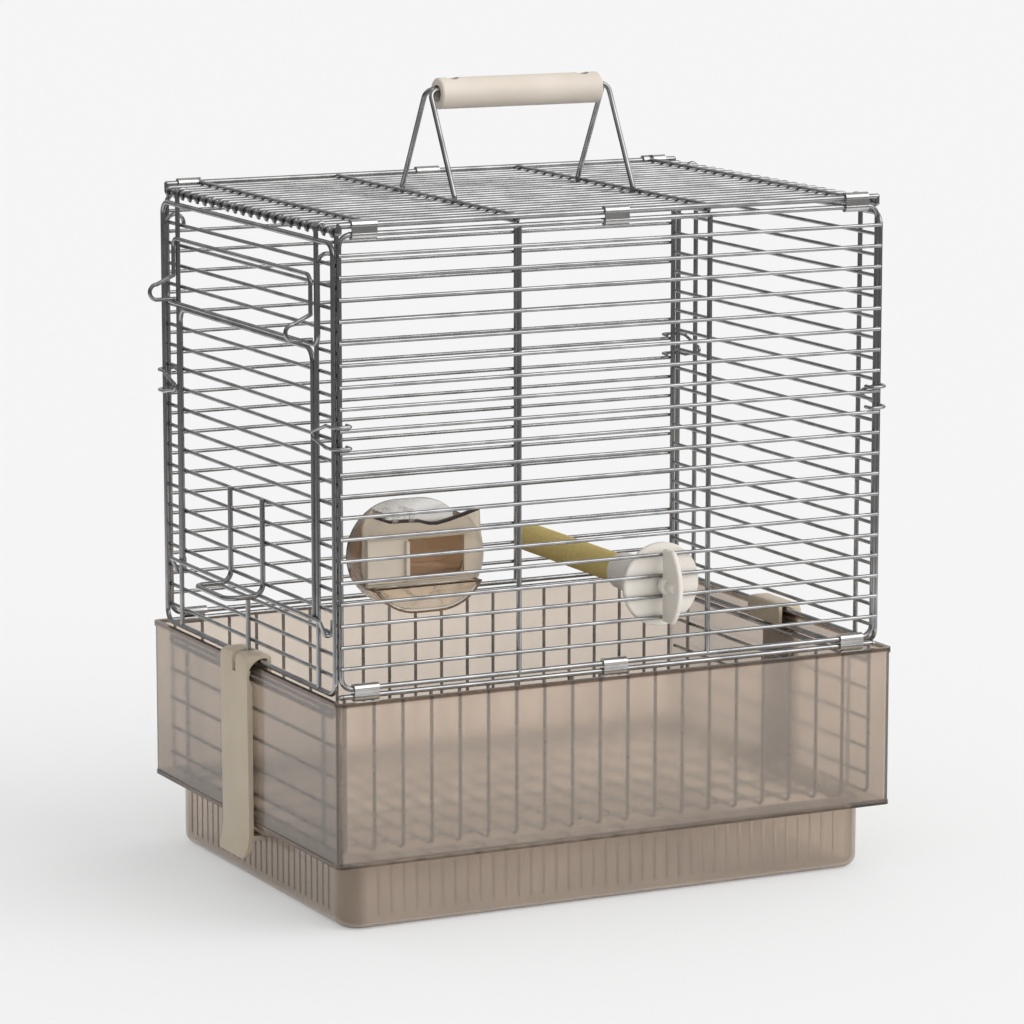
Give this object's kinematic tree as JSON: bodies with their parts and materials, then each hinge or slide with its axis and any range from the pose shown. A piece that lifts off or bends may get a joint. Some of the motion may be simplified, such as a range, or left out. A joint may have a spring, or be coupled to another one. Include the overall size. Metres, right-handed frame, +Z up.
{
  "type": "bird travel carrier",
  "caption": "Wire bird travel carrier with a drop-down door and lock flap, seed guard and litter tray held by side latches, carrying handle, feeder cup and screw-on perch.",
  "frame": {"origin": "middle of the litter tray's flat underside", "axes": "+X along the long side to the right of the front, +Y to the back, +Z up"},
  "size_m": [0.3807, 0.2798, 0.4613],
  "materials": {
    "wire": "zinc-plated wire",
    "clip": "bright plated sheet",
    "smoky_plastic": "frosted translucent",
    "cream_plastic": "satin",
    "latch_plastic": "satin",
    "feeder_plastic": "translucent",
    "shutter_plastic": "translucent",
    "perch": "coloured, lightly sanded",
    "white_plastic": "satin"
  },
  "bodies": {
    "carrier": {"litter_tray": "smoky_plastic", "seed_guard": "smoky_plastic", "floor_grate": "wire", "front_liner": "wire", "back_liner": "wire", "left_liner": "wire", "right_liner": "wire", "front_panel": "wire", "back_panel": "wire", "top_panel": "wire", "left_end_panel": "wire", "right_end_panel": "wire", "top_front_clips": "clip", "top_back_clips": "clip", "bottom_front_clips": "clip", "bottom_back_clips": "clip", "front_corner_ties": "wire", "back_corner_ties": "wire", "handle_bail_front": "wire", "handle_bail_back": "wire", "handle_grip": "cream_plastic", "feeder_shell": "feeder_plastic", "feeder_bowl": "feeder_plastic", "feeder_hooks": "shutter_plastic", "perch_dowel": "perch", "perch_flange": "white_plastic", "perch_stud": "clip"},
    "door": {"door": "wire"},
    "lock_flap": {"lock_flap": "wire"},
    "left_latch": {"left_latch": "latch_plastic"},
    "right_latch": {"right_latch": "latch_plastic"},
    "feeder_shutter": {"feeder_shutter": "shutter_plastic"},
    "perch_nut": {"perch_wing_nut": "white_plastic"}
  },
  "joints": [
    {"name": "door_hinge", "type": "hinge", "parent": "carrier", "child": "door", "pos_m": [-0.1696, 0, 0.1687], "axis": [0, -1, 0], "range_deg": [0, 90]},
    {"name": "lock_flap_hinge", "type": "hinge", "parent": "carrier", "child": "lock_flap", "pos_m": [-0.1696, 0, 0.3727], "axis": [0, 1, 0], "range_deg": [0, 90]},
    {"name": "left_latch_hinge", "type": "hinge", "parent": "carrier", "child": "left_latch", "pos_m": [-0.17, 0, 0.1264], "axis": [0, 1, 0], "range_deg": [0, 45]},
    {"name": "right_latch_hinge", "type": "hinge", "parent": "carrier", "child": "right_latch", "pos_m": [0.17, 0, 0.1264], "axis": [0, -1, 0], "range_deg": [0, 45]},
    {"name": "shutter_slide", "type": "slide", "parent": "carrier", "child": "feeder_shutter", "axis": [1, 0, 0], "range_m": [0, 0.035]},
    {"name": "perch_nut_spin", "type": "hinge", "parent": "carrier", "child": "perch_nut", "pos_m": [0.03, -0.135, 0.1809], "axis": [0, 1, 0], "continuous": true}
  ]
}
